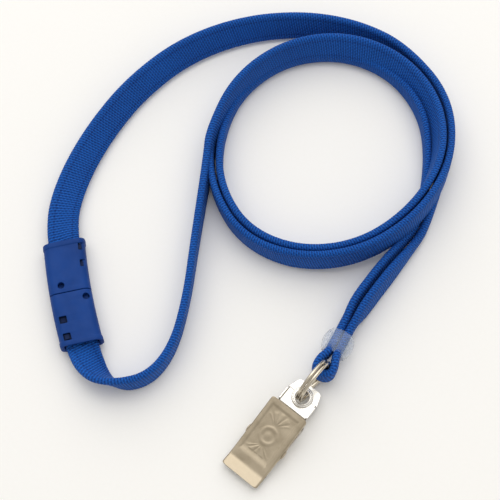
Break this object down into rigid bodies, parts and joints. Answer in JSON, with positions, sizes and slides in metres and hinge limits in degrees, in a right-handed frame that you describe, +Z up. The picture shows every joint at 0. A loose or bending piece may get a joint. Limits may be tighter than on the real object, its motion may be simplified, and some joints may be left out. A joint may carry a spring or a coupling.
{
  "type": "lanyard badge holder",
  "caption": "Woven neck lanyard with a breakaway clasp, a sliding clear bead, a split ring and a sprung metal badge clip, lying coiled.",
  "frame": {"origin": "on the clip's flat back face, straight below its hinge pin, on the surface that the lanyard lies on", "axes": "+Y along the clip from its jaws to the ring, +Z up from the surface, away from the clip's back face"},
  "size_m": [0.114, 0.1468, 0.0145],
  "materials": {
    "strap": "royal blue woven tubular tape",
    "clasp": "satin royal blue moulded plastic",
    "bead": "clear gloss plastic",
    "ring_steel": "bright nickel plate",
    "clip_steel": "bright nickel plate",
    "spring_steel": "plain spring wire"
  },
  "bodies": {
    "lanyard": {"strap_coil": "strap", "strap_upper_run": "strap", "strap_lower_run": "strap", "strap_leg_right": "strap", "strap_leg_left": "strap", "strap_neck": "strap", "strap_bight": "strap", "strap_end_lower": "strap", "clasp_half_lower": "clasp", "strap_grip_lower": "clasp"},
    "clasp_upper": {"clasp_half_upper": "clasp", "strap_grip_upper": "clasp", "strap_end_upper": "strap"},
    "bead": {"bead": "bead"},
    "ring": {"split_ring": "ring_steel"},
    "clip": {"clip_back": "clip_steel", "clip_pin": "clip_steel", "clip_spring": "spring_steel"},
    "lever": {"clip_lever": "clip_steel"}
  },
  "joints": [
    {"name": "clasp_release", "type": "slide", "parent": "lanyard", "child": "clasp_upper", "axis": [-0.7826, 0.6225, 0], "range_m": [0, 0.009], "deforming": ["strap_upper_run"]},
    {"name": "bead_slide", "type": "slide", "parent": "lanyard", "child": "bead", "axis": [-0.1908, 0.9816, 0], "range_m": [0, 0.002]},
    {"name": "ring_swivel", "type": "hinge", "parent": "lanyard", "child": "ring", "pos_m": [0, 0.0278, 0.0065], "axis": [0, 0, 1], "range_deg": [-60, 60], "deforming": ["strap_bight"]},
    {"name": "clip_swivel", "type": "hinge", "parent": "ring", "child": "clip", "pos_m": [0, 0.0168, 0.0025], "axis": [0, 0, 1], "range_deg": [-45, 45]},
    {"name": "lever_squeeze", "type": "hinge", "parent": "clip", "child": "lever", "pos_m": [0, 0, 0.003], "axis": [-1, 0, 0], "range_deg": [0, 25], "stiffness_Nm_per_rad": 0.05, "springref_deg": -22.92, "deforming": ["clip_spring"]}
  ]
}
